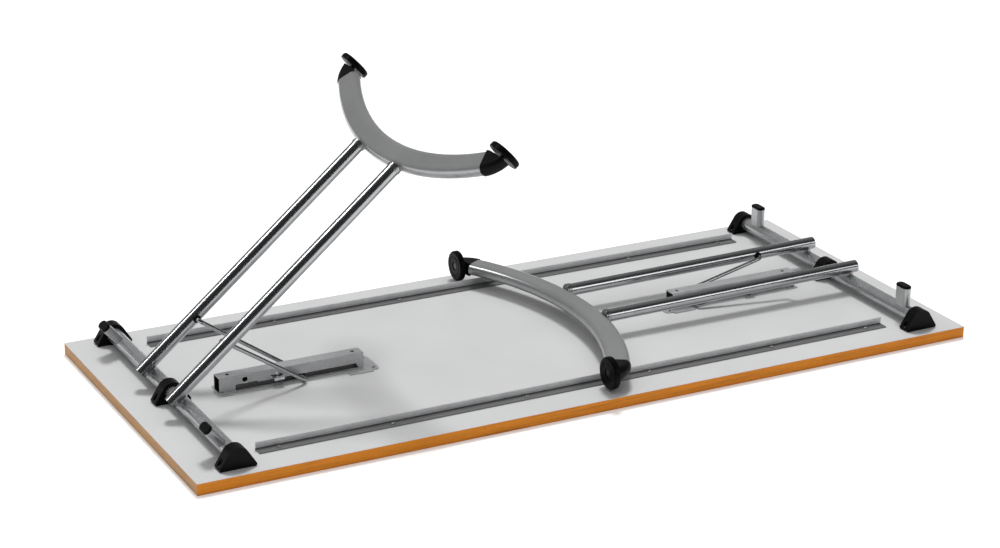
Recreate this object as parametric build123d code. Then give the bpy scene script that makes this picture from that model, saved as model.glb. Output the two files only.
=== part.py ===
from build123d import *
import math
import os

os.makedirs("parts", exist_ok=True)

# Folding conference table lying upside down on its own top.
# Row frame: millimetres, +Z up, origin on the face the table lies on, at the middle of the board.
# Leg parts are drawn in a leg frame: X runs from the axle to the foot, Y along the axle,
# and Z away from the board when the leg is folded flat.

# Board
BOARD_L = 1600.0
BOARD_W = 700.0
BOARD_T = 22.0
BAND_T = 2.0
SKIN_T = 0.8

# Axles and their bearing brackets
AXLE_X = 715.0
AXLE_LIFT = 19.0
AXLE_R = 14.0
AXLE_HALF = 318.0
AXLE_WALL = 2.0
RUN_GAP = 0.08
BRACKET_BASE_HALF = 34.5
BRACKET_TOP_R = 21.5
BRACKET_CORNER_R = 3.5
BRACKET_W = 25.0
BRACKET_END_Y = 313.5
BRACKET_BORE_DEPTH = 19.0
BRACKET_SCREW_X = 28.5
BRACKET_SEAT = 5.0
BRACKET_RIM = 3.0
BRACKET_RECESS = 1.6

# Leg tubes
LEG_FOLD_LEFT = 41.0
LEG_FOLD_RIGHT = 0.0
LEG_Y = 77.0
LEG_R = 12.5
LEG_WALL = 1.5
LEG_START = -15.0
LEG_END = 571.0
LEG_LIFT_AXLE = 28.0
LEG_LIFT_FOOT = 21.0
NECK_R = 9.5
BEAD = 1.2
BEAD_LEN = 5.0

# Curved foot bar, flat-oval tube
FOOT_MID = 587.0
FOOT_R = 580.0
FOOT_HALF_ANGLE = 30.0
FOOT_WIDE = 48.0
FOOT_THICK = 25.0
FOOT_WALL = 2.0
FOOT_N = 15.0

# Foot caps and glides
CAP_FLANGE = 1.0
CAP_INSET = 4.0
CAP_PLUG = 18.0
CAP_PLUG_GAP = 0.5
CAP_SOLE_U = 684.0
CAP_SOLE_Y = 313.0
CAP_TOE_Y = 333.0
CAP_HEEL_Y = 290.0
CAP_ROUND = 12.4
GLIDE_R = 31.0
GLIDE_BASE_U = 700.0
GLIDE_T = 12.0
GLIDE_EDGE = 4.5
GLIDE_RING_R = 21.0
GLIDE_RING_W = 2.5
GLIDE_RING_DEPTH = 1.2
GLIDE_HEAD_R = 7.0
GLIDE_HEAD_T = 1.6
GLIDE_HEAD_SEAT = 3.0
GLIDE_RECESS_R = 8.5
GLIDE_STEM_R = 5.0
GLIDE_STEM_IN = 18.0
GLIDE_BORE_SPARE = 4.0

# Stacking posts on the axle
POST_Y = 261.0
POST_LEN_Y = 36.0
POST_LEN_U = 18.0
POST_WALL = 1.5
POST_TOP = 49.0
POST_CAP_T = 5.0
POST_PLUG = 8.0

# Folding stays, slide blocks and grommets
ROD_R = 4.0
STAY_LEN = 207.0
STAY_HALF_BAR = 36.0
STAY_HALF_TIP = 51.0
STAY_TIP_Y = 62.0
STAY_BEND = 9.0
BAR_Z = 28.5
GROMMET_U = 128.0
GROMMET_R = 7.5
GROMMET_NECK_R = 5.5
GROMMET_FACE_Y = 62.5
GROMMET_IN_Y = 69.0
GROMMET_HOLE_R = 4.3
BLOCK_HALF_X = 9.0
BLOCK_HALF_Y = 11.8
BLOCK_Z0 = 24.4
BLOCK_Z1 = 36.0

# Guide channels
CHAN_IN = 338.0
CHAN_OUT = 626.0
CHAN_HALF_W = 14.0
CHAN_TOP = 53.0
CHAN_WALL = 1.8
GAP_IN = 348.0
GAP_SLANT = 6.0
GAP_TOP = 33.5
SLOT_END = 595.0
SLOT_TOP = 37.0
SLOT_IN = 549.0
NOTCH_X = 576.0
NOTCH_W = 11.0
NOTCH_TOP = 47.5
NOTCH_TAPER = 1.0
WEB_HOLES = (605.0, 355.0)
WEB_HOLE_R = 4.0
PLATE_T = 2.0
PLATE_HALF_W = 19.0
TAB_OUT_X = 618.0
TAB_OUT_LEN = 26.0
TAB_OUT_REACH = 27.0
TAB_SCREW_Y = 20.5
TAB_MID_LEN = 18.0
EAR_X = 322.5
EAR_Y = 25.0
EAR_HALF = 33.0
EAR_END = 312.0
LUG_X0 = 336.0
LUG_X1 = 376.0
LUG_Y = 33.0
LUG_HALF_W = 6.5
LUG_HOLE_X = 359.0
LUG_HOLE_R = 2.5

# Latch levers inside the channels
PIN_X = 513.0
PIN_Z = 44.0
PIN_R = 3.0
PIN_HEAD_R = 4.6
PIN_HEAD_T = 1.5
LEVER_IN = 500.0
LEVER_OUT = 586.0
LEVER_Z = 37.4
LEVER_T = 2.0
LEVER_HALF_W = 11.0
LEVER_EAR_T = 2.5
LEVER_EAR_R = 5.5
LEVER_TAB_LEN = 20.0
LEVER_TAB_REACH = 27.0
LEVER_LIP = 3.0
FINGER_LEN = 6.0
FINGER_REACH = 17.5
WINDOW_MARGIN = 1.8
WINDOW_Z0 = 34.4
WINDOW_Z1 = 42.0

# Side rails
RAIL_HALF_L = 660.0
RAIL_BACK_Y = {-1: -265.0, 1: 277.0}
RAIL_FLANGE = 21.0
RAIL_H = 15.0
RAIL_T = 2.0
RAIL_SCREW_IN = 11.0
RAIL_SCREWS = (-620.0, -400.0, -130.0, 130.0, 400.0, 620.0)

# Wood screws
SCREW_R = 1.9
SCREW_LEN = 12.0
SCREW_HEAD_R = 3.8
SCREW_HEAD_H = 2.2
SCREW_CROSS_L = 4.4
SCREW_CROSS_W = 0.9
SCREW_CROSS_D = 1.1
SCREW_FLUSH_R = 4.4
PILOT_GAP = 0.1
CLEAR_GAP = 0.4

# Derived
AXLE_Z = BOARD_T + AXLE_LIFT
LEG_TILT = math.degrees(math.atan((LEG_LIFT_AXLE - LEG_LIFT_FOOT) / LEG_END))
GROMMET_N = LEG_LIFT_AXLE - GROMMET_U * math.tan(math.radians(LEG_TILT))
FOOT_CENTRE_U = FOOT_MID + FOOT_R
GLIDE_TOP_U = GLIDE_BASE_U - GLIDE_T


def stay_pose(fold):
    """Crossbar distance from the axle and stay angle for a leg folded out by fold degrees."""
    a = math.radians(fold)
    grommet_in = GROMMET_U * math.cos(a) - GROMMET_N * math.sin(a)
    grommet_z = AXLE_Z + GROMMET_U * math.sin(a) + GROMMET_N * math.cos(a)
    phi = math.asin((grommet_z - BAR_Z) / STAY_LEN)
    return grommet_in + STAY_LEN * math.cos(phi), math.degrees(phi)


def place_leg(side, shape):
    """Leg frame to row frame for the left (-1) or right (+1) leg."""
    if side < 0:
        return Pos(-AXLE_X, 0, AXLE_Z) * Rot(0, -LEG_FOLD_LEFT, 0) * shape
    return Pos(AXLE_X, 0, AXLE_Z) * Rot(0, 0, 180) * Rot(0, -LEG_FOLD_RIGHT, 0) * shape


def place_stay(side, shape):
    """Stay frame, crossbar along Y and arms along -X, to row frame."""
    fold = LEG_FOLD_LEFT if side < 0 else LEG_FOLD_RIGHT
    reach, phi = stay_pose(fold)
    if side < 0:
        return Pos(-AXLE_X + reach, 0, BAR_Z) * Rot(0, phi, 0) * shape
    return Pos(AXLE_X - reach, 0, BAR_Z) * Rot(0, 0, 180) * Rot(0, phi, 0) * shape


def block(x0, x1, y0, y1, z0, z1):
    """Box between two corners."""
    return Pos((x0 + x1) / 2, (y0 + y1) / 2, (z0 + z1) / 2) * Box(x1 - x0, y1 - y0, z1 - z0)


def rod_y(radius, y0, y1, x, z):
    """Cylinder along Y."""
    return Pos(x, (y0 + y1) / 2, z) * Rot(90, 0, 0) * Cylinder(radius, y1 - y0)


def rod_x(radius, x0, x1, y, z):
    """Cylinder along X."""
    return Pos((x0 + x1) / 2, y, z) * Rot(0, 90, 0) * Cylinder(radius, x1 - x0)


def upright(radius, x, y, z0, z1):
    """Cylinder along Z."""
    return Pos(x, y, (z0 + z1) / 2) * Cylinder(radius, z1 - z0)


def group(shapes):
    """Separate solids kept in one node."""
    return Compound(children=[s for shape in shapes for s in shape.solids()])


def screw(x, y, seat):
    """Cross-recess pan-head wood screw with its head seated at height seat."""
    shank = upright(SCREW_R, x, y, BOARD_T - SCREW_LEN, seat)
    head = upright(SCREW_HEAD_R, x, y, seat, seat + SCREW_HEAD_H)
    head = fillet(head.edges().group_by(Axis.Z)[-1], SCREW_HEAD_H * 0.7)
    top = seat + SCREW_HEAD_H
    half, wide = SCREW_CROSS_L / 2, SCREW_CROSS_W / 2
    slot_a = block(x - half, x + half, y - wide, y + wide, top - SCREW_CROSS_D, top)
    slot_b = block(x - wide, x + wide, y - half, y + half, top - SCREW_CROSS_D, top)
    return shank + head - slot_a - slot_b


def flush_screw(x, y):
    """Countersunk wood screw, its head level with the top of the base plate."""
    top = BOARD_T + PLATE_T
    head = Pos(x, y, (BOARD_T + top) / 2) * Cone(SCREW_R, SCREW_FLUSH_R, PLATE_T)
    half, wide = SCREW_CROSS_L / 2, SCREW_CROSS_W / 2
    body = upright(SCREW_R, x, y, BOARD_T - SCREW_LEN, BOARD_T) + head
    body -= block(x - half, x + half, y - wide, y + wide, top - SCREW_CROSS_D, top)
    return body - block(x - wide, x + wide, y - half, y + half, top - SCREW_CROSS_D, top)


def rail_screw_spots():
    return [(x, back - RAIL_SCREW_IN) for back in RAIL_BACK_Y.values() for x in RAIL_SCREWS]


def bracket_screw_spots():
    rows = (-BRACKET_END_Y, 0.0, BRACKET_END_Y)
    return [(side * AXLE_X + end * BRACKET_SCREW_X, y)
            for side in (-1, 1) for y in rows for end in (-1, 1)]


def channel_screw_spots():
    spots = []
    for side in (-1, 1):
        for end in (-1, 1):
            spots.append((side * TAB_OUT_X, end * TAB_SCREW_Y))
            spots.append((side * EAR_X, end * EAR_Y))
    return spots


def flush_screw_spots():
    """The screws below the latches, which the stays' crossbars pass over."""
    return [(side * PIN_X, -TAB_SCREW_Y) for side in (-1, 1)]


def pilot_holes():
    """Pilot holes for every wood screw, as one cutting shape."""
    spots = rail_screw_spots() + bracket_screw_spots() + channel_screw_spots() + flush_screw_spots()
    radius = SCREW_R + PILOT_GAP
    floor = BOARD_T - SCREW_LEN - PILOT_GAP
    return Compound(children=[upright(radius, x, y, floor, BOARD_T) for x, y in spots])


def board_core():
    inner_l = BOARD_L / 2 - BAND_T
    inner_w = BOARD_W / 2 - BAND_T
    core = block(-inner_l, inner_l, -inner_w, inner_w, SKIN_T, BOARD_T - SKIN_T)
    return core - pilot_holes()


def top_laminate():
    inner_l = BOARD_L / 2 - BAND_T
    inner_w = BOARD_W / 2 - BAND_T
    return block(-inner_l, inner_l, -inner_w, inner_w, 0, SKIN_T)


def underside_laminate():
    inner_l = BOARD_L / 2 - BAND_T
    inner_w = BOARD_W / 2 - BAND_T
    skin = block(-inner_l, inner_l, -inner_w, inner_w, BOARD_T - SKIN_T, BOARD_T)
    return skin - pilot_holes()


def long_band(side):
    outer = side * BOARD_W / 2
    inner = side * (BOARD_W / 2 - BAND_T)
    y0, y1 = min(outer, inner), max(outer, inner)
    return block(-BOARD_L / 2, BOARD_L / 2, y0, y1, 0, BOARD_T)


def short_band(side):
    outer = side * BOARD_L / 2
    inner = side * (BOARD_L / 2 - BAND_T)
    x0, x1 = min(outer, inner), max(outer, inner)
    half = BOARD_W / 2 - BAND_T
    return block(x0, x1, -half, half, 0, BOARD_T)


def rail(row):
    """Angle rail: a screwed flange with an upright leg along its far edge."""
    back = RAIL_BACK_Y[row]
    leg = block(-RAIL_HALF_L, RAIL_HALF_L, back - RAIL_T, back, BOARD_T, BOARD_T + RAIL_H)
    angle = leg + block(-RAIL_HALF_L, RAIL_HALF_L, back - RAIL_FLANGE, back, BOARD_T, BOARD_T + RAIL_T)
    for x in RAIL_SCREWS:
        angle -= upright(SCREW_R + CLEAR_GAP, x, back - RAIL_SCREW_IN, BOARD_T, BOARD_T + RAIL_T)
    return angle


def rail_screws():
    return group([screw(x, y, BOARD_T + RAIL_T) for x, y in rail_screw_spots()])


def bracket_outline(shrink):
    """Rounded triangle standing on the board, about the axle axis."""
    corner_z = BRACKET_CORNER_R - AXLE_LIFT
    corner_x = BRACKET_BASE_HALF - BRACKET_CORNER_R
    top = Circle(BRACKET_TOP_R - shrink)
    left = Pos(-corner_x + shrink, corner_z) * Circle(BRACKET_CORNER_R - shrink * 0.6)
    right = Pos(corner_x - shrink, corner_z) * Circle(BRACKET_CORNER_R - shrink * 0.6)
    return make_hull(top.edges() + left.edges() + right.edges())


def bracket(side, row):
    """Moulded bearing bracket; the end ones are blind, the middle one is bored through."""
    body = extrude(Plane.XZ * bracket_outline(0), BRACKET_W / 2, both=True)
    body -= block(-BRACKET_BASE_HALF, BRACKET_BASE_HALF, -BRACKET_W, BRACKET_W, -2 * AXLE_LIFT, -AXLE_LIFT)
    if row == 0:
        body -= rod_y(AXLE_R + RUN_GAP, -BRACKET_W / 2, BRACKET_W / 2, 0, 0)
    else:
        inner = BRACKET_W / 2
        body -= rod_y(AXLE_R + RUN_GAP, inner - BRACKET_BORE_DEPTH, inner, 0, 0)
        face = Pos(0, -BRACKET_W / 2, 0) * Plane.XZ * bracket_outline(BRACKET_RIM)
        body -= extrude(face, BRACKET_RECESS, both=True)
        boss = rod_y(AXLE_R * 0.62, -BRACKET_W / 2, BRACKET_RECESS - BRACKET_W / 2, 0, 0)
        body += boss - rod_y(AXLE_R * 0.42, -BRACKET_W / 2, BRACKET_RECESS - BRACKET_W / 2, 0, 0)
    seat = BRACKET_SEAT - AXLE_LIFT
    for x in (-BRACKET_SCREW_X, BRACKET_SCREW_X):
        body -= upright(SCREW_R + CLEAR_GAP, x, 0, -AXLE_LIFT, seat)
        body -= upright(SCREW_HEAD_R + 1, x, 0, seat, AXLE_LIFT)
    turn = 180 if row > 0 else 0
    return Pos(side * AXLE_X, row * BRACKET_END_Y, AXLE_Z) * Rot(0, 0, turn) * body


def bracket_screws():
    return group([screw(x, y, BOARD_T + BRACKET_SEAT) for x, y in bracket_screw_spots()])


def near_opening():
    """Opening in the near wall: the crossbar's gap, a taller slot and the notch above it."""
    floor = BOARD_T + PLATE_T
    outline = [
        (GAP_IN, floor), (GAP_IN + GAP_SLANT, GAP_TOP), (SLOT_IN, GAP_TOP), (SLOT_IN + 4, SLOT_TOP),
        (NOTCH_X - NOTCH_W / 2, SLOT_TOP), (NOTCH_X - NOTCH_W / 2 + NOTCH_TAPER, NOTCH_TOP),
        (NOTCH_X + NOTCH_W / 2 - NOTCH_TAPER, NOTCH_TOP), (NOTCH_X + NOTCH_W / 2, SLOT_TOP),
        (SLOT_END - 2, SLOT_TOP), (SLOT_END, GAP_TOP), (SLOT_END, floor),
    ]
    face = Pos(0, -CHAN_HALF_W + CHAN_WALL / 2, 0) * make_face(Plane.XZ * Polyline(outline, close=True))
    return extrude(face, CHAN_WALL, both=True)


def far_opening():
    """Plain gap in the far wall for the crossbar."""
    inside = CHAN_HALF_W - 2 * CHAN_WALL
    return block(GAP_IN, SLOT_END, inside, CHAN_HALF_W, BOARD_T + PLATE_T, GAP_TOP)


def channel_feet():
    """Base plate with its outer tabs, latch tab, inner ears and lug, all screwed or bored."""
    z0, z1 = BOARD_T, BOARD_T + PLATE_T
    half, mid = TAB_OUT_LEN / 2, TAB_MID_LEN / 2
    feet = block(CHAN_IN, CHAN_OUT, -PLATE_HALF_W, PLATE_HALF_W, z0, z1)
    feet += block(TAB_OUT_X - half, CHAN_OUT, -TAB_OUT_REACH, TAB_OUT_REACH, z0, z1)
    feet += block(PIN_X - mid, PIN_X + mid, -TAB_OUT_REACH, 0, z0, z1)
    outline = [
        (LUG_X0 + 14, PLATE_HALF_W), (LUG_X0 - 2, EAR_HALF), (EAR_END + 4, EAR_HALF), (EAR_END, EAR_Y),
        (EAR_END, -EAR_Y), (EAR_END + 4, -EAR_HALF), (LUG_X0 - 2, -EAR_HALF),
        (LUG_X0 + 14, -PLATE_HALF_W),
    ]
    feet += extrude(Pos(0, 0, z0) * make_face(Polyline(outline, close=True)), PLATE_T)
    feet += block(LUG_X0 - 8, LUG_X1, -LUG_Y - LUG_HALF_W, -LUG_Y + LUG_HALF_W, z0, z1)
    feet -= upright(LUG_HOLE_R, LUG_HOLE_X, -LUG_Y, z0, z1)
    for end in (-1, 1):
        feet -= upright(SCREW_R + CLEAR_GAP, TAB_OUT_X, end * TAB_SCREW_Y, z0, z1)
        feet -= upright(SCREW_R + CLEAR_GAP, EAR_X, end * EAR_Y, z0, z1)
    sink = Cone(SCREW_R + PILOT_GAP, SCREW_FLUSH_R + PILOT_GAP, PLATE_T)
    return feet - Pos(PIN_X, -TAB_SCREW_Y, (z0 + z1) / 2) * sink


def channel(side):
    """Folded sheet channel, web on top, drawn with X as the distance from the board's middle."""
    outer = block(CHAN_IN, CHAN_OUT, -CHAN_HALF_W, CHAN_HALF_W, BOARD_T, CHAN_TOP)
    outer = fillet(outer.edges().filter_by(Axis.X).group_by(Axis.Z)[-1], CHAN_WALL)
    inside = CHAN_HALF_W - CHAN_WALL
    shell = outer - block(CHAN_IN, CHAN_OUT, -inside, inside, BOARD_T, CHAN_TOP - CHAN_WALL)
    shell -= near_opening() + far_opening()
    for x in WEB_HOLES:
        shell -= upright(WEB_HOLE_R, x, 0, CHAN_TOP - CHAN_WALL, CHAN_TOP)
    half = LEVER_TAB_LEN / 2 + WINDOW_MARGIN
    shell -= block(PIN_X - half, PIN_X + half, -CHAN_HALF_W, -inside, WINDOW_Z0, WINDOW_Z1)
    shell -= rod_y(PIN_R + PILOT_GAP, -CHAN_HALF_W, CHAN_HALF_W, PIN_X, PIN_Z)
    shell += channel_feet()
    return shell if side > 0 else mirror(shell, Plane.YZ)


def channel_screws():
    raised = [screw(x, y, BOARD_T + PLATE_T) for x, y in channel_screw_spots()]
    return group(raised + [flush_screw(x, y) for x, y in flush_screw_spots()])


def latch_pin(side):
    """Rivet through both channel walls, flush in the near one and headed behind the far one."""
    x = side * PIN_X
    pin = rod_y(PIN_R, -CHAN_HALF_W, CHAN_HALF_W, x, PIN_Z)
    return pin + rod_y(PIN_HEAD_R, CHAN_HALF_W, CHAN_HALF_W + PIN_HEAD_T, x, PIN_Z)


def latch_lever(side):
    """Flat lever above the crossbar's path, with pivot ears, a thumb tab and a finger in the notch."""
    z1 = LEVER_Z + LEVER_T
    plate = block(LEVER_IN, LEVER_OUT, -LEVER_HALF_W, LEVER_HALF_W, LEVER_Z, z1)
    half = LEVER_TAB_LEN / 2
    plate += block(PIN_X - half, PIN_X + half, -LEVER_TAB_REACH, -LEVER_HALF_W, LEVER_Z, z1)
    lip_y = -LEVER_TAB_REACH + LEVER_T
    plate += block(PIN_X - half, PIN_X + half, -LEVER_TAB_REACH, lip_y, LEVER_Z - LEVER_LIP, z1)
    finger = FINGER_LEN / 2
    plate += block(NOTCH_X - finger, NOTCH_X + finger, -FINGER_REACH, -LEVER_HALF_W, LEVER_Z, z1)
    for end in (-1, 1):
        y0, y1 = sorted((end * LEVER_HALF_W, end * (LEVER_HALF_W - LEVER_EAR_T)))
        plate += rod_y(LEVER_EAR_R, y0, y1, PIN_X, PIN_Z)
        plate += block(PIN_X - LEVER_EAR_R, PIN_X + LEVER_EAR_R, y0, y1, z1, PIN_Z)
    plate -= rod_y(PIN_R + RUN_GAP, -LEVER_HALF_W, LEVER_HALF_W, PIN_X, PIN_Z)
    return plate if side > 0 else mirror(plate, Plane.YZ)


def slide_block(side):
    """Nylon block that rides in the channel and carries the stay's crossbar."""
    fold = LEG_FOLD_LEFT if side < 0 else LEG_FOLD_RIGHT
    x = side * (AXLE_X - stay_pose(fold)[0])
    body = block(x - BLOCK_HALF_X, x + BLOCK_HALF_X, -BLOCK_HALF_Y, BLOCK_HALF_Y, BLOCK_Z0, BLOCK_Z1)
    body = fillet(body.edges().filter_by(Axis.Z), 2)
    bore = ROD_R + RUN_GAP
    body -= rod_y(bore, -BLOCK_HALF_Y, BLOCK_HALF_Y, x, BAR_Z)
    return body - block(x - bore, x + bore, -BLOCK_HALF_Y, BLOCK_HALF_Y, BLOCK_Z0, BAR_Z)


def stay_rod(side):
    """U-shaped rod: crossbar, two spread arms and two tips bent out towards the leg tubes."""
    path = FilletPolyline(
        (-STAY_LEN, -STAY_TIP_Y), (-STAY_LEN, -STAY_HALF_TIP), (0, -STAY_HALF_BAR),
        (0, STAY_HALF_BAR), (-STAY_LEN, STAY_HALF_TIP), (-STAY_LEN, STAY_TIP_Y),
        radius=STAY_BEND)
    start = Plane(origin=(-STAY_LEN, -STAY_TIP_Y, 0), z_dir=(0, 1, 0))
    return place_stay(side, sweep(start * Circle(ROD_R), path=path))


def axle(side):
    tube = rod_y(AXLE_R, -AXLE_HALF, AXLE_HALF, 0, 0)
    return place_leg(side, tube - rod_y(AXLE_R - AXLE_WALL, -AXLE_HALF, AXLE_HALF, 0, 0))


def foot_sweep(grow):
    """Filled foot bar: its flat-oval section turned about the arc's centre."""
    plane = Plane(origin=(FOOT_MID, 0, FOOT_N), x_dir=(1, 0, 0), z_dir=(0, -1, 0))
    section = plane * SlotOverall(FOOT_WIDE + 2 * grow, FOOT_THICK + 2 * grow)
    pivot = Axis((FOOT_CENTRE_U, 0, 0), (0, 0, 1))
    return revolve(section.rotate(pivot, -FOOT_HALF_ANGLE), pivot, 2 * FOOT_HALF_ANGLE)


def leg_axis_shape(radius, u0, u1, row):
    """Cylinder along the slightly tilted axis of a leg tube."""
    bar = rod_x(radius, u0, u1, row * LEG_Y, 0)
    return Pos(0, 0, LEG_LIFT_AXLE) * Rot(0, LEG_TILT, 0) * bar


def grommet_bore(row):
    inner, outer = sorted((row * GROMMET_FACE_Y, row * GROMMET_IN_Y))
    return rod_y(GROMMET_NECK_R, inner, outer, GROMMET_U, GROMMET_N)


def leg_tube(side, row):
    """Leg tube with a closed upper end, its lower end shaped to the foot bar."""
    tube = leg_axis_shape(LEG_R, LEG_START, LEG_END, row)
    tube -= leg_axis_shape(LEG_R - LEG_WALL, LEG_START + 2, LEG_END - 4, row)
    tube -= foot_sweep(0)
    tube -= grommet_bore(row)
    return place_leg(side, tube)


def welds(side):
    """Necks between axle and leg tubes, and beads round the tubes at the foot bar."""
    pieces = []
    for row in (-1, 1):
        neck = upright(NECK_R, 0, row * LEG_Y, AXLE_R / 2, LEG_LIFT_AXLE)
        neck -= rod_y(AXLE_R, -AXLE_HALF, AXLE_HALF, 0, 0)
        neck -= leg_axis_shape(LEG_R, LEG_START, LEG_END, row)
        pieces.append(max(neck.solids(), key=lambda s: s.center().Z))
        bead = leg_axis_shape(LEG_R + BEAD, LEG_END - BEAD_LEN - 4, LEG_END - 2, row)
        bead -= leg_axis_shape(LEG_R, LEG_START, LEG_END, row)
        bead -= foot_sweep(0)
        pieces.append(max(bead.solids(), key=lambda s: s.volume))
    return place_leg(side, group(pieces))


def foot_bar(side):
    return place_leg(side, foot_sweep(0) - foot_sweep(-FOOT_WALL))


def bar_point(row, radius):
    """Corner of the foot bar's end plane at a distance from the arc's centre."""
    a = math.radians(FOOT_HALF_ANGLE)
    return FOOT_CENTRE_U - radius * math.cos(a), row * radius * math.sin(a)


def bar_end(row):
    """Plane square to the foot bar at its end."""
    a = math.radians(FOOT_HALF_ANGLE)
    u, y = bar_point(row, FOOT_R)
    return Plane(origin=(u, y, FOOT_N), x_dir=(0, 0, 1), z_dir=(math.sin(a), row * math.cos(a), 0))


def foot_cap(side, row):
    """Black quarter-round cap on the foot bar's end, with a plug in the bar and the glide's bore."""
    a = math.radians(FOOT_HALF_ANGLE)
    thick = FOOT_THICK + 2 * CAP_FLANGE
    joint_out = bar_point(row, FOOT_R + FOOT_WIDE / 2 + CAP_FLANGE)
    joint_in = bar_point(row, FOOT_R - FOOT_WIDE / 2 + CAP_INSET)
    toe, heel = (CAP_SOLE_U, row * CAP_TOE_Y), (CAP_SOLE_U, row * CAP_HEEL_Y)
    back = TangentArc(joint_out, toe, tangent=(math.sin(a), row * math.cos(a)))
    outline = back + Polyline(toe, heel, joint_in, joint_out)
    body = extrude(Pos(0, 0, FOOT_N - thick / 2) * make_face(outline), thick)
    rim = body.edges().filter_by(GeomType.CIRCLE)
    body = fillet(rim, CAP_ROUND)
    inner_thick = FOOT_THICK - 2 * (FOOT_WALL + CAP_PLUG_GAP)
    inner_wide = FOOT_WIDE - 2 * (FOOT_WALL + CAP_PLUG_GAP)
    plug = bar_end(row) * RectangleRounded(inner_thick, inner_wide, inner_thick / 2 - CAP_PLUG_GAP)
    body += extrude(plug, -CAP_PLUG)
    bore_top = GLIDE_TOP_U - GLIDE_STEM_IN - GLIDE_BORE_SPARE
    body -= rod_x(GLIDE_STEM_R + RUN_GAP, bore_top, CAP_SOLE_U, row * CAP_SOLE_Y, FOOT_N)
    return place_leg(side, body)


def glide(side, row):
    """Round glide disc with a ring groove and a recess for the stem's head in its face."""
    disc = rod_x(GLIDE_R, GLIDE_TOP_U, GLIDE_BASE_U, 0, 0)
    disc = fillet(disc.edges().group_by(Axis.X)[-1], GLIDE_EDGE)
    disc = fillet(disc.edges().group_by(Axis.X)[0], 2)
    face_u = GLIDE_BASE_U - GLIDE_RING_DEPTH
    ring = rod_x(GLIDE_RING_R, face_u, GLIDE_BASE_U, 0, 0)
    disc -= ring - rod_x(GLIDE_RING_R - GLIDE_RING_W, face_u, GLIDE_BASE_U, 0, 0)
    disc -= rod_x(GLIDE_RECESS_R, GLIDE_BASE_U - GLIDE_HEAD_SEAT, GLIDE_BASE_U, 0, 0)
    disc -= rod_x(GLIDE_STEM_R + PILOT_GAP, GLIDE_TOP_U, GLIDE_BASE_U, 0, 0)
    return place_leg(side, Pos(0, row * CAP_SOLE_Y, FOOT_N) * disc)


def glide_stem(side, row):
    """Steel stem of a glide, its round head seated in the disc."""
    seat = GLIDE_BASE_U - GLIDE_HEAD_SEAT
    stem = rod_x(GLIDE_STEM_R, GLIDE_TOP_U - GLIDE_STEM_IN, seat, 0, 0)
    head = rod_x(GLIDE_HEAD_R, seat, seat + GLIDE_HEAD_T, 0, 0)
    stem += fillet(head.edges().group_by(Axis.X)[-1], GLIDE_HEAD_T / 2)
    return place_leg(side, Pos(0, row * CAP_SOLE_Y, FOOT_N) * stem)


def post_section(shrink):
    """Flat-oval section, long way along the axle."""
    return Rot(0, 0, 90) * SlotOverall(POST_LEN_Y - 2 * shrink, POST_LEN_U - 2 * shrink)


def stacking_post(side, row):
    """Short flat-oval tube standing on the axle."""
    post = extrude(post_section(0), POST_TOP) - extrude(post_section(POST_WALL), POST_TOP)
    post = Pos(0, row * POST_Y, 0) * post
    post -= rod_y(AXLE_R, -AXLE_HALF, AXLE_HALF, 0, 0)
    return place_leg(side, post)


def post_cap(side, row):
    """Domed cap with a plug inside the post."""
    top = extrude(Pos(0, 0, POST_TOP) * post_section(-0.4), POST_CAP_T)
    top = fillet(top.edges().group_by(Axis.Z)[-1], 3.5)
    top += extrude(Pos(0, 0, POST_TOP - POST_PLUG) * post_section(POST_WALL + 0.3), POST_PLUG)
    return place_leg(side, Pos(0, row * POST_Y, 0) * top)


def grommets(side):
    """Black grommets in the inner faces of both leg tubes."""
    pieces = []
    for row in (-1, 1):
        face, deep = row * GROMMET_FACE_Y, row * GROMMET_IN_Y
        y0, y1 = sorted((face, deep))
        flange = rod_y(GROMMET_R, y0, y1, GROMMET_U, GROMMET_N)
        flange -= leg_axis_shape(LEG_R, LEG_START, LEG_END, row)
        flange = max(flange.solids(), key=lambda s: s.volume)
        neck = rod_y(GROMMET_NECK_R, y0, y1, GROMMET_U, GROMMET_N)
        ring = flange + neck - rod_y(GROMMET_HOLE_R, y0, y1, GROMMET_U, GROMMET_N)
        pieces.append(ring)
    return place_leg(side, group(pieces))


SIDES = {"left": -1, "right": 1}
ROWS = {"near": -1, "far": 1}

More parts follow.
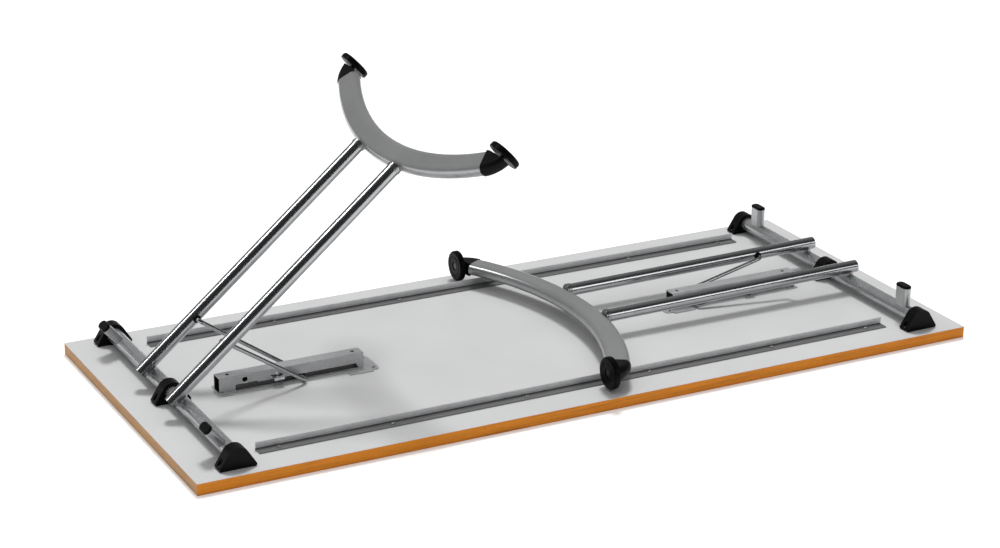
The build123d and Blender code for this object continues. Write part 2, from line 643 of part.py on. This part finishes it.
nodes = {
    "board_core": board_core(),
    "top_laminate": top_laminate(),
    "underside_laminate": underside_laminate(),
    "rail_screws": rail_screws(),
    "bracket_screws": bracket_screws(),
    "channel_screws": channel_screws(),
}
for row_name, row in ROWS.items():
    nodes[row_name + "_edge_band"] = long_band(row)
    nodes[row_name + "_rail"] = rail(row)
for side_name, side in SIDES.items():
    nodes[side_name + "_edge_band"] = short_band(side)
    nodes[side_name + "_middle_bracket"] = bracket(side, 0)
    nodes[side_name + "_channel"] = channel(side)
    nodes[side_name + "_latch_pin"] = latch_pin(side)
    nodes[side_name + "_latch_lever"] = latch_lever(side)
    nodes[side_name + "_slide_block"] = slide_block(side)
    nodes[side_name + "_stay_rod"] = stay_rod(side)
    nodes[side_name + "_axle"] = axle(side)
    nodes[side_name + "_welds"] = welds(side)
    nodes[side_name + "_foot_bar"] = foot_bar(side)
    nodes[side_name + "_grommets"] = grommets(side)
    for row_name, row in ROWS.items():
        own = row if side < 0 else -row
        nodes[side_name + "_" + row_name + "_bracket"] = bracket(side, row)
        nodes[side_name + "_" + row_name + "_leg_tube"] = leg_tube(side, own)
        nodes[side_name + "_" + row_name + "_foot_cap"] = foot_cap(side, own)
        nodes[side_name + "_" + row_name + "_glide"] = glide(side, own)
        nodes[side_name + "_" + row_name + "_glide_stem"] = glide_stem(side, own)
        nodes[side_name + "_" + row_name + "_post"] = stacking_post(side, own)
        nodes[side_name + "_" + row_name + "_post_cap"] = post_cap(side, own)

for name, shape in nodes.items():
    export_step(shape, "parts/" + name + ".step")
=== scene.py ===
import math

import bpy
from mathutils import Matrix, Vector

# Folding conference table lying upside down on its own top. Lengths are in metres.

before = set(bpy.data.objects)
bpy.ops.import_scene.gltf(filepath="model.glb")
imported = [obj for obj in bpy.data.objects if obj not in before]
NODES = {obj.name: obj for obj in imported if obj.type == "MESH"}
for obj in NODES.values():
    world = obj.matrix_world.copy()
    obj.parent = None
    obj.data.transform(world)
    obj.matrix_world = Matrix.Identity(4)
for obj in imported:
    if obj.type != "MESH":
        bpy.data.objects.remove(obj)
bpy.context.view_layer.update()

# Camera: the angles it looks from, its distance, the point it looks at and its lens
VIEW_AZIMUTH = -27.72
VIEW_ELEVATION = 20.685
VIEW_ROLL = 0.487
VIEW_DISTANCE = 5.2396
VIEW_TARGET = (0.1471, 0.3633, 0.0)
LENS_MM = 90.52
SENSOR_MM = 36.0

# The angle each leg frame is folded out to
LEG_FOLD = {"left": 41.0, "right": 0.0}

# Boxes that mask a material, as ranges of |X|, |Y| and |Z| from the frame's origin: the inside of the
# guide channels (painted shade), the top face of the edge bands, the rails' flanges and the rails' inner
# corners (both painted shade)
CHANNEL_INSIDE = ((0.3385, 0.627), (0.0, 0.0124), (0.0235, 0.0515))
BAND_TOP = ((0.0, 1.0), (0.0, 0.5), (0.0213, 0.0225))
RAIL_FLANGE_SHADE = ((0.0, 1.0), (0.0, 0.5), (0.0215, 0.0237))
RAIL_CORNER_SHADE = ((0.0, 1.0), (0.0, 0.5), (0.0230, 0.0256))


# ---------------------------------------------------------------- node helpers


class Mat:
    """A node material with a Principled shader and short helpers for its textures."""

    def __init__(self, name):
        self.mat = bpy.data.materials.new(name)
        self.mat.use_nodes = True
        self.tree = self.mat.node_tree
        self.shader = self.tree.nodes["Principled BSDF"]

    def node(self, kind, **settings):
        made = self.tree.nodes.new(kind)
        for key, value in settings.items():
            setattr(made, key, value)
        return made

    def link(self, source, target):
        self.tree.links.new(source, target)

    def set(self, **values):
        for key, value in values.items():
            self.shader.inputs[key.replace("_", " ")].default_value = value

    def coords(self, scale=(1, 1, 1), tilt=0.0):
        """Object coordinates turned about Y by tilt degrees, then scaled."""
        place = self.node("ShaderNodeTexCoord").outputs["Object"]
        turn = self.node("ShaderNodeMapping")
        turn.inputs["Rotation"].default_value = (0, math.radians(tilt), 0)
        self.link(place, turn.inputs["Vector"])
        stretch = self.node("ShaderNodeMapping")
        stretch.inputs["Scale"].default_value = scale
        self.link(turn.outputs["Vector"], stretch.inputs["Vector"])
        return stretch.outputs["Vector"]

    def noise(self, vector, scale, detail=4.0, rough=0.55, distortion=0.0):
        made = self.node("ShaderNodeTexNoise")
        self.link(vector, made.inputs["Vector"])
        made.inputs["Scale"].default_value = scale
        made.inputs["Detail"].default_value = detail
        made.inputs["Roughness"].default_value = rough
        made.inputs["Distortion"].default_value = distortion
        return made.outputs["Fac"]

    def voronoi(self, vector, scale, feature="F1"):
        made = self.node("ShaderNodeTexVoronoi", feature=feature)
        self.link(vector, made.inputs["Vector"])
        made.inputs["Scale"].default_value = scale
        return made

    def ramp(self, value, stops):
        made = self.node("ShaderNodeValToRGB")
        band = made.color_ramp
        while len(band.elements) < len(stops):
            band.elements.new(0.5)
        for element, (place, colour) in zip(band.elements, stops):
            element.position = place
            element.color = (*colour, 1) if isinstance(colour, tuple) else (colour, colour, colour, 1)
        self.link(value, made.inputs["Fac"])
        return made.outputs["Color"]

    def mix(self, factor, a, b, blend="MIX"):
        made = self.node("ShaderNodeMix", data_type="RGBA", blend_type=blend)
        for socket, value in ((made.inputs[0], factor), (made.inputs[6], a), (made.inputs[7], b)):
            if isinstance(value, bpy.types.NodeSocket):
                self.link(value, socket)
            elif isinstance(value, tuple):
                socket.default_value = (*value, 1)
            else:
                socket.default_value = value
        return made.outputs[2]

    def span(self, value, low, high):
        """Maps 0..1 to low..high."""
        made = self.node("ShaderNodeMapRange")
        self.link(value, made.inputs["Value"])
        made.inputs["To Min"].default_value = low
        made.inputs["To Max"].default_value = high
        return made.outputs["Result"]

    def inside(self, box):
        """1 where |X|, |Y| and |Z| from the frame's origin all lie inside a box, else 0."""
        split = self.node("ShaderNodeSeparateXYZ")
        self.link(self.node("ShaderNodeTexCoord").outputs["Object"], split.inputs[0])
        result = None
        for axis, (low, high) in zip("XYZ", box):
            away = self.node("ShaderNodeMath", operation="ABSOLUTE")
            self.link(split.outputs[axis], away.inputs[0])
            within = self.node("ShaderNodeMath", operation="COMPARE")
            self.link(away.outputs[0], within.inputs[0])
            within.inputs[1].default_value = (low + high) / 2
            within.inputs[2].default_value = (high - low) / 2
            if result is None:
                result = within.outputs[0]
            else:
                both = self.node("ShaderNodeMath", operation="MULTIPLY")
                self.link(result, both.inputs[0])
                self.link(within.outputs[0], both.inputs[1])
                result = both.outputs[0]
        return result

    def edges(self, radius, sharp=0.03):
        """White along convex and concave edges narrower than radius."""
        soft = self.node("ShaderNodeBevel", samples=4)
        soft.inputs["Radius"].default_value = radius
        flat = self.node("ShaderNodeNewGeometry").outputs["Normal"]
        dot = self.node("ShaderNodeVectorMath", operation="DOT_PRODUCT")
        self.link(soft.outputs["Normal"], dot.inputs[0])
        self.link(flat, dot.inputs[1])
        return self.ramp(dot.outputs["Value"], [(1 - 4 * sharp, 1.0), (1 - sharp / 3, 0.0)])

    def bump(self, height, strength, distance, radius=0.0):
        """Bump from a height, over edges rounded by radius."""
        made = self.node("ShaderNodeBump")
        made.inputs["Strength"].default_value = strength
        made.inputs["Distance"].default_value = distance
        self.link(height, made.inputs["Height"])
        if radius:
            soft = self.node("ShaderNodeBevel", samples=4)
            soft.inputs["Radius"].default_value = radius
            self.link(soft.outputs["Normal"], made.inputs["Normal"])
        self.link(made.outputs["Normal"], self.shader.inputs["Normal"])


# ---------------------------------------------------------------- materials


def shaded(tone, factor):
    """A colour made darker or lighter by a factor."""
    return tuple(min(1.0, factor * c) for c in tone)


LAMINATE_TONE = (0.645, 0.648, 0.65)


def laminate(name):
    """Light grey laminate: fine pearl texture, faint clouding and a few rub marks."""
    m = Mat(name)
    here = m.coords()
    fine = m.noise(here, 900, 3, 0.6)
    cloud = m.noise(here, 6, 4, 0.5)
    tone = m.ramp(cloud, [(0.3, (0.615, 0.618, 0.62)), (0.7, (0.655, 0.658, 0.66))])
    speck = m.ramp(fine, [(0.35, 0.93), (0.65, 1.0)])
    m.link(m.mix(1.0, tone, speck, "MULTIPLY"), m.shader.inputs["Base Color"])
    rub = m.noise(m.coords((3, 14, 3)), 9, 6, 0.7, 0.6)
    m.link(m.span(rub, 0.30, 0.46), m.shader.inputs["Roughness"])
    m.bump(fine, 0.12, 0.0002, 0.0004)
    m.set(IOR=1.5)
    return m.mat


def edge_wood(name, along, light, dark):
    """Lacquered wood edge with its grain along one direction, in the laminate's tone on its top face."""
    m = Mat(name)
    stretch = (3, 90, 90) if along == "X" else (90, 3, 90)
    here = m.coords(stretch)
    grain = m.noise(here, 3.0, 8, 0.62, 0.35)
    pores = m.noise(m.coords(tuple(4 * s for s in stretch)), 5.0, 5, 0.7)
    broad = m.noise(m.coords((2, 2, 2)), 2.2, 2, 0.5)
    body = m.ramp(grain, [(0.28, dark), (0.48, light), (0.72, shaded(light, 1.15))])
    body = m.mix(m.ramp(pores, [(0.50, 0.0), (0.68, 0.45)]), body, shaded(dark, 0.45))
    body = m.mix(m.ramp(broad, [(0.35, 0.0), (0.75, 0.22)]), body, shaded(light, 0.8))
    m.link(m.mix(m.inside(BAND_TOP), body, LAMINATE_TONE), m.shader.inputs["Base Color"])
    m.link(m.span(grain, 0.40, 0.54), m.shader.inputs["Roughness"])
    m.bump(pores, 0.25, 0.0003, 0.0008)
    m.set(Specular_IOR_Level=0.22)
    return m.mat


def board_wood(name):
    """Pressed fibreboard core."""
    m = Mat(name)
    here = m.coords()
    fibre = m.noise(here, 420, 6, 0.7)
    tone = m.ramp(fibre, [(0.3, (0.30, 0.20, 0.11)), (0.7, (0.52, 0.38, 0.24))])
    m.link(tone, m.shader.inputs["Base Color"])
    m.link(m.span(fibre, 0.7, 0.95), m.shader.inputs["Roughness"])
    m.bump(fibre, 0.4, 0.0004)
    return m.mat


def tube_metal(name, tilt, tone, rough):
    """Plated tube: drawing lines along the tube, cloudy plating and fine handling marks."""
    m = Mat(name)
    lines = m.noise(m.coords((2, 60, 60), tilt), 26, 5, 0.65)
    cloud = m.noise(m.coords((1, 1, 1), tilt), 38, 3, 0.5)
    marks = m.noise(m.coords((40, 8, 40), tilt + 20), 14, 7, 0.75, 1.2)
    shade = m.mix(m.ramp(cloud, [(0.3, 0.0), (0.7, 1.0)]), shaded(tone, 0.90), tone)
    shade = m.mix(m.ramp(lines, [(0.35, 0.25), (0.6, 0.0)]), shade, shaded(tone, 0.72))
    # painted highlight: edges lighter than the plating
    shade = m.mix(m.edges(0.0012), shade, shaded(tone, 1.15))
    m.link(shade, m.shader.inputs["Base Color"])
    wear = m.mix(0.4, lines, m.ramp(marks, [(0.45, 0.0), (0.72, 1.0)]))
    m.link(m.span(wear, rough * 0.85, rough * 1.25), m.shader.inputs["Roughness"])
    m.bump(lines, 0.025, 0.0001, 0.0005)
    m.set(Metallic=1.0)
    return m.mat


def satin_bar(name, tilt):
    """Silver-grey satin coat of the foot bar: fine orange peel and metallic flake."""
    m = Mat(name)
    here = m.coords((1, 1, 1), tilt)
    peel = m.noise(here, 260, 3, 0.5)
    flake = m.voronoi(here, 2600)
    cloud = m.noise(here, 11, 4, 0.55)
    body = m.ramp(cloud, [(0.3, (0.375, 0.38, 0.385)), (0.7, (0.435, 0.44, 0.445))])
    sparkle = m.ramp(flake.outputs["Color"], [(0.25, 0.86), (0.9, 1.0)])
    body = m.mix(1.0, body, sparkle, "MULTIPLY")
    # painted highlight: light silver along the edges
    body = m.mix(m.edges(0.0015), body, (0.66, 0.67, 0.68))
    m.link(body, m.shader.inputs["Base Color"])
    m.link(m.span(peel, 0.20, 0.28), m.shader.inputs["Roughness"])
    m.bump(peel, 0.10, 0.0002, 0.0006)
    m.set(Metallic=0.6, Coat_Weight=0.4, Coat_Roughness=0.14)
    return m.mat


def zinc(name, tone, rough, metallic=0.5, shade_inside=False, rail=False):
    """Zinc plating with spangle, rolling lines and painted highlights along the edges.

    The flag for the channels paints shade inside them as a mottled near-black film without metal; rail
    paints shade on the flange and deeper shade in the inner corner.
    """
    m = Mat(name)
    here = m.coords()
    spangle = m.voronoi(here, 240)
    rolled = m.noise(m.coords((3, 50, 50)), 30, 5, 0.6)
    stain = m.noise(here, 24, 5, 0.6, 0.4)
    body = m.ramp(stain, [(0.28, shaded(tone, 0.82)), (0.62, tone)])
    body = m.mix(0.07, body, spangle.outputs["Color"], "OVERLAY")
    body = m.mix(m.ramp(rolled, [(0.4, 0.28), (0.6, 0.0)]), body, shaded(tone, 0.7))
    # painted highlight: every edge lighter than the plating
    body = m.mix(m.edges(0.0010), body, shaded(tone, 1.4))
    m.set(Metallic=metallic)
    if rail:
        # painted shade: the rail's flange darkened as if in the shadow of its upright leg
        body = m.mix(m.inside(RAIL_FLANGE_SHADE), body, shaded(tone, 0.34))
        # painted shade: a dark line in the rail's inner corner, where the crease is shaded
        body = m.mix(m.inside(RAIL_CORNER_SHADE), body, shaded(tone, 0.19))
    if shade_inside:
        # painted shade: a mottled near-black film inside the channels, where the shadow falls
        inside_shade = m.ramp(m.noise(here, 90, 5, 0.65), [(0.25, 0.86), (0.55, 1.0)])
        inside_shade = m.mix(1.0, m.inside(CHANNEL_INSIDE), inside_shade, "MULTIPLY")
        body = m.mix(inside_shade, body, (0.012, 0.012, 0.012))
        m.link(m.span(inside_shade, metallic, 0.0), m.shader.inputs["Metallic"])
    m.link(body, m.shader.inputs["Base Color"])
    m.link(m.span(stain, rough * 0.76, rough * 1.24), m.shader.inputs["Roughness"])
    m.bump(rolled, 0.10, 0.0001, 0.0005)
    return m.mat


def bright_steel(name, tone, rough):
    """Bright plated small part with turning marks."""
    m = Mat(name)
    here = m.coords()
    mark = m.noise(here, 320, 5, 0.7)
    body = m.mix(m.ramp(mark, [(0.35, 0.5), (0.6, 0.0)]), tone, shaded(tone, 0.6))
    # painted highlight: edges lighter than the plating
    m.link(m.mix(m.edges(0.0005), body, shaded(tone, 1.3)), m.shader.inputs["Base Color"])
    m.link(m.span(mark, rough * 0.7, rough * 1.4), m.shader.inputs["Roughness"])
    m.bump(mark, 0.15, 0.0001, 0.0003)
    m.set(Metallic=1.0)
    return m.mat


def weld_metal(name):
    """Weld metal under plating: heat-clouded and finely pitted."""
    m = Mat(name)
    here = m.coords()
    pit = m.noise(here, 700, 5, 0.7)
    heat = m.noise(here, 120, 3, 0.5)
    body = m.ramp(heat, [(0.3, (0.24, 0.24, 0.25)), (0.6, (0.46, 0.46, 0.46))])
    body = m.mix(m.ramp(pit, [(0.4, 0.5), (0.55, 0.0)]), body, (0.25, 0.24, 0.23))
    m.link(body, m.shader.inputs["Base Color"])
    m.link(m.span(pit, 0.22, 0.42), m.shader.inputs["Roughness"])
    m.bump(pit, 0.35, 0.0004)
    m.set(Metallic=1.0)
    return m.mat


def black_plastic(name, rough, grain, specular=0.09):
    """Black moulded plastic: spark-eroded grain, scuff marks, and lighter edges that are partly scuffing
    and partly painted highlight.
    """
    m = Mat(name)
    here = m.coords()
    skin = m.noise(here, grain, 4, 0.65)
    scuff = m.noise(m.coords((20, 60, 20)), 12, 7, 0.75, 0.8)
    body = m.ramp(skin, [(0.3, (0.002, 0.002, 0.002)), (0.7, (0.005, 0.005, 0.005))])
    # lighter edges where the scuff noise allows: part scuffing, part painted highlight
    scuff_and_highlight = m.mix(1.0, m.edges(0.0012), m.ramp(scuff, [(0.42, 0.1), (0.62, 0.8)]), "MULTIPLY")
    body = m.mix(scuff_and_highlight, body, (0.080, 0.080, 0.082))
    body = m.mix(m.ramp(scuff, [(0.60, 0.0), (0.78, 0.35)]), body, (0.014, 0.014, 0.015))
    m.link(body, m.shader.inputs["Base Color"])
    m.link(m.span(skin, rough * 0.85, rough * 1.25), m.shader.inputs["Roughness"])
    m.bump(skin, 0.35, 0.0002, 0.0006)
    m.set(Specular_IOR_Level=specular)
    return m.mat


ORANGE = (0.75, 0.25, 0.010)
ORANGE_DARK = (0.47, 0.145, 0.007)
# the left and right edge bands: the orange band made paler and less saturated, a painted sheen
TAN_SHEEN = (0.50, 0.265, 0.095)
TAN_SHEEN_DARK = (0.30, 0.14, 0.040)
CHROME_TONE = (0.45, 0.46, 0.47)

LAMINATE = laminate("grey_laminate")
CORE = board_wood("board_fibre")
ZINC = zinc("zinc_sheet", (0.58, 0.59, 0.60), 0.34, shade_inside=True)
RAIL_ZINC = zinc("rail_zinc", (0.86, 0.87, 0.88), 0.32, metallic=0.35, rail=True)
POST_ZINC = zinc("post_zinc", (0.50, 0.51, 0.52), 0.34, metallic=0.6)
AXLE_ZINC = zinc("axle_zinc", (0.52, 0.53, 0.54), 0.26, metallic=0.75)
SCREW = bright_steel("screw_steel", (0.75, 0.75, 0.74), 0.22)
DARK_STEEL = bright_steel("blackened_steel", (0.05, 0.05, 0.05), 0.35)
LEVER = bright_steel("lever_steel", (0.78, 0.79, 0.80), 0.24)
WELD = weld_metal("weld_metal")
PLASTIC = black_plastic("black_plastic", 0.36, 1100)
GLIDE_PLASTIC = black_plastic("glide_plastic", 0.34, 1600, specular=0.05)
NYLON = black_plastic("dark_nylon", 0.5, 800)
BANDS = {
    "near": edge_wood("near_edge_wood", "X", ORANGE, ORANGE_DARK),
    "far": edge_wood("far_edge_wood", "X", ORANGE, ORANGE_DARK),
    "left": edge_wood("left_edge_wood", "Y", TAN_SHEEN, TAN_SHEEN_DARK),
    "right": edge_wood("right_edge_wood", "Y", TAN_SHEEN, TAN_SHEEN_DARK),
}
TUBE = {side: tube_metal(side + "_tube_chrome", fold, CHROME_TONE, 0.20) for side, fold in LEG_FOLD.items()}
BAR = {side: satin_bar(side + "_bar_satin", fold) for side, fold in LEG_FOLD.items()}


def material_for(node):
    """The finish of a CAD node."""
    side = node.split("_")[0]
    endings = {
        "laminate": LAMINATE, "board_core": CORE, "edge_band": BANDS.get(side), "_rail": RAIL_ZINC,
        "channel": ZINC, "screws": SCREW, "latch_pin": SCREW, "latch_lever": LEVER,
        "bracket": PLASTIC, "foot_cap": PLASTIC, "post_cap": PLASTIC, "grommets": PLASTIC,
        "glide": GLIDE_PLASTIC, "glide_stem": DARK_STEEL, "slide_block": NYLON,
        "stay_rod": TUBE.get(side), "leg_tube": TUBE.get(side), "foot_bar": BAR.get(side),
        "_post": POST_ZINC, "axle": AXLE_ZINC, "welds": WELD,
    }
    for ending, material in endings.items():
        if node.endswith(ending):
            return material
    raise KeyError(node)


for node_name, piece in NODES.items():
    piece.data.materials.clear()
    piece.data.materials.append(material_for(node_name))


# ---------------------------------------------------------------- stage, light and camera

FLOOR_SIZE = 40.0
FLOOR_TONE = (0.93, 0.93, 0.93)
FLOOR_GLOW = 0.22

# Surroundings: the direction they are brightest in, and their strength on the dark and the bright side
WORLD_TOWARDS = (0.0, 0.97, 0.25)
WORLD_LOW = 0.045
WORLD_HIGH = 0.30

# Lights: name, direction towards the light, strength, width in degrees, and what it lights
SUNS = [
    ("key", (0.25, 0.52, 1.0), 2.15, 14, "diffuse"),
    ("fill", (0.0, 0.0, 1.0), 1.25, 120, "diffuse"),
    ("left_box", (-0.54, 0.345, 0.77), 0.56, 12, "gloss"),
    ("front_box", (0.435, -0.79, 0.435), 0.22, 18, "gloss"),
]


def make_floor():
    """Plain pale floor with a barely visible texture."""
    bpy.ops.mesh.primitive_plane_add(size=FLOOR_SIZE, location=(0, 0, -0.0005))
    floor = bpy.context.object
    floor.name = "floor"
    m = Mat("floor_paper")
    grain = m.noise(m.coords(), 180, 3, 0.5)
    tone = m.ramp(grain, [(0.3, shaded(FLOOR_TONE, 0.99)), (0.7, FLOOR_TONE)])
    m.link(tone, m.shader.inputs["Base Color"])
    m.set(Roughness=0.9, Emission_Color=(1, 1, 1, 1), Emission_Strength=FLOOR_GLOW)
    floor.data.materials.append(m.mat)


def broad_sun(name, towards, strength, angle, lights):
    """Distant light from a direction, as wide as angle degrees, for diffuse light or for gloss."""
    data = bpy.data.lights.new(name, "SUN")
    data.energy = strength
    data.angle = math.radians(angle)
    lamp = bpy.data.objects.new(name, data)
    lamp.rotation_euler = Vector(towards).to_track_quat("Z", "Y").to_euler()
    lamp.visible_diffuse = lights == "diffuse"
    lamp.visible_glossy = lights == "gloss"
    bpy.context.collection.objects.link(lamp)


def make_world(towards, low, high):
    """Surroundings that are bright in one direction and dark on the opposite side."""
    world = bpy.data.worlds.new("studio")
    world.use_nodes = True
    nodes, links = world.node_tree.nodes, world.node_tree.links
    place = nodes.new("ShaderNodeTexCoord")
    dot = nodes.new("ShaderNodeVectorMath")
    dot.operation = "DOT_PRODUCT"
    dot.inputs[1].default_value = Vector(towards).normalized()
    band = nodes.new("ShaderNodeMapRange")
    band.interpolation_type = "SMOOTHSTEP"
    band.inputs["From Min"].default_value = -0.35
    band.inputs["From Max"].default_value = 0.95
    band.inputs["To Min"].default_value = low
    band.inputs["To Max"].default_value = high
    links.new(place.outputs["Generated"], dot.inputs[0])
    links.new(dot.outputs["Value"], band.inputs["Value"])
    links.new(band.outputs["Result"], nodes["Background"].inputs["Strength"])
    nodes["Background"].inputs["Color"].default_value = (1, 1, 1, 1)
    bpy.context.scene.world = world


def make_camera():
    a, e, roll = (math.radians(v) for v in (VIEW_AZIMUTH, VIEW_ELEVATION, VIEW_ROLL))
    back = Vector((math.sin(a) * math.cos(e), -math.cos(a) * math.cos(e), math.sin(e)))
    right = Vector((math.cos(a), math.sin(a), 0))
    up = back.cross(right)
    right, up = right * math.cos(roll) + up * math.sin(roll), up * math.cos(roll) - right * math.sin(roll)
    place = Vector(VIEW_TARGET) + back * VIEW_DISTANCE
    data = bpy.data.cameras.new("camera")
    data.lens = LENS_MM
    data.sensor_width = SENSOR_MM
    data.clip_end = 200
    camera = bpy.data.objects.new("camera", data)
    camera.matrix_world = Matrix.Translation(place) @ Matrix((right, up, back)).transposed().to_4x4()
    bpy.context.collection.objects.link(camera)
    bpy.context.scene.camera = camera


make_floor()
make_world(WORLD_TOWARDS, WORLD_LOW, WORLD_HIGH)
for sun in SUNS:
    broad_sun(*sun)
make_camera()
bpy.context.scene.view_settings.view_transform = "Standard"
